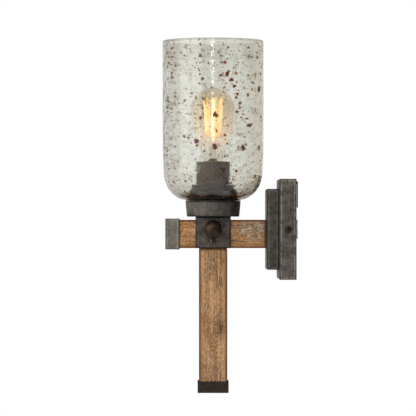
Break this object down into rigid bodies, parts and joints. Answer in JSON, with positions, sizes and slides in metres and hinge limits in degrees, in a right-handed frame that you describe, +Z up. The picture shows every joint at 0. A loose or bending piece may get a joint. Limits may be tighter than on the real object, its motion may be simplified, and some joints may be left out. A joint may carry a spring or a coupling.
{
  "type": "wall light",
  "caption": "Rustic electric wall light: a speckled open-topped glass shade round a filament lamp, on a capped timber arm and hanging post with a stepped square wall canopy.",
  "frame": {"origin": "centre of the mounting strap's back face, on the wall, which is the centre of the square canopy", "axes": "+Y into the wall, -Y out into the room along the arm, +Z up, +X to the right seen from the room"},
  "size_m": [0.14, 0.179, 0.4703],
  "materials": {
    "aged_iron": "aged iron, brushed and mottled",
    "dark_bronze": "oil-rubbed bronze, satin",
    "steel": "zinc plated",
    "brass": "plain",
    "timber": "reclaimed, brushed, with remains of whitewash",
    "speckled_glass": "clear with brown flecks and seeds",
    "lamp_glass": "amber tint",
    "clear_glass": "clear",
    "tungsten": "glowing filament wire",
    "rubber": "matt",
    "porcelain": "glazed",
    "black_plastic": "satin",
    "white_plastic": "satin",
    "green_plastic": "satin",
    "green_paint": "green dyed"
  },
  "bodies": {
    "fixture": {"mounting_strap": "steel", "canopy_pan": "aged_iron", "rim_tape": "rubber", "raised_plate": "aged_iron", "ground_screw": "green_paint", "ground_terminal": "steel", "arm_timber": "timber", "arm_cap": "aged_iron", "arm_insert": "brass", "arm_pipe": "steel", "arm_pipe_nut": "steel", "arm_end_screw_right": "steel", "arm_end_screw_left": "steel", "saddle": "aged_iron", "ball_knob_right": "dark_bronze", "ball_knob_left": "dark_bronze", "saddle_screw_right": "aged_iron", "saddle_screw_left": "aged_iron", "post_timber": "timber", "post_cap": "aged_iron", "post_lag_right": "steel", "post_lag_left": "steel", "fitter_dish": "aged_iron", "fitter_neck": "steel", "lamp_pipe": "steel", "neck_nut": "steel", "saddle_nut": "steel", "glass_shade": "speckled_glass", "lower_gasket": "rubber", "upper_gasket": "rubber", "clamp_plate": "aged_iron", "clamp_ring": "aged_iron", "socket_cup": "aged_iron", "lampholder_body": "porcelain", "screw_shell": "brass", "centre_contact": "brass", "white_lead": "white_plastic", "black_lead": "black_plastic", "ground_lead": "green_plastic", "wire_nut_white": "white_plastic", "wire_nut_black": "black_plastic"},
    "lamp_base": {"lamp_contact": "steel", "lamp_insulator": "black_plastic"},
    "lamp": {"lamp_cap": "brass", "lamp_envelope": "lamp_glass", "lamp_stem": "clear_glass", "filament": "tungsten", "upper_supports": "steel", "lower_supports": "steel", "feed_wire_first": "steel", "feed_wire_last": "steel"},
    "right_washer": {"side_washer_right": "dark_bronze"},
    "right_screw": {"side_screw_right": "dark_bronze"},
    "left_washer": {"side_washer_left": "dark_bronze"},
    "left_screw": {"side_screw_left": "dark_bronze"}
  },
  "joints": [
    {"name": "lamp_rise", "type": "slide", "parent": "fixture", "child": "lamp_base", "axis": [0, 0, 1], "range_m": [0, 0.0218]},
    {"name": "lamp_turn", "type": "hinge", "parent": "lamp_base", "child": "lamp", "pos_m": [0, -0.1112, 0.1], "axis": [0, 0, 1], "range_deg": [0, 2160]},
    {"name": "right_screw_out", "type": "slide", "parent": "fixture", "child": "right_washer", "axis": [1, 0, 0], "range_m": [0, 0.00575]},
    {"name": "right_screw_turn", "type": "hinge", "parent": "right_washer", "child": "right_screw", "pos_m": [0.068, -0.01295, 0], "axis": [1, 0, 0], "range_deg": [0, 2610]},
    {"name": "left_screw_out", "type": "slide", "parent": "fixture", "child": "left_washer", "axis": [-1, 0, 0], "range_m": [0, 0.00575]},
    {"name": "left_screw_turn", "type": "hinge", "parent": "left_washer", "child": "left_screw", "pos_m": [-0.068, -0.01295, 0], "axis": [-1, 0, 0], "range_deg": [0, 2610]}
  ],
  "couplings": [
    {"joint": "lamp_rise", "follows": "lamp_turn", "m_per_rad": 0.00057773},
    {"joint": "right_screw_turn", "follows": "right_screw_out", "rad_per_m": 7913},
    {"joint": "left_screw_turn", "follows": "left_screw_out", "rad_per_m": 7913}
  ]
}
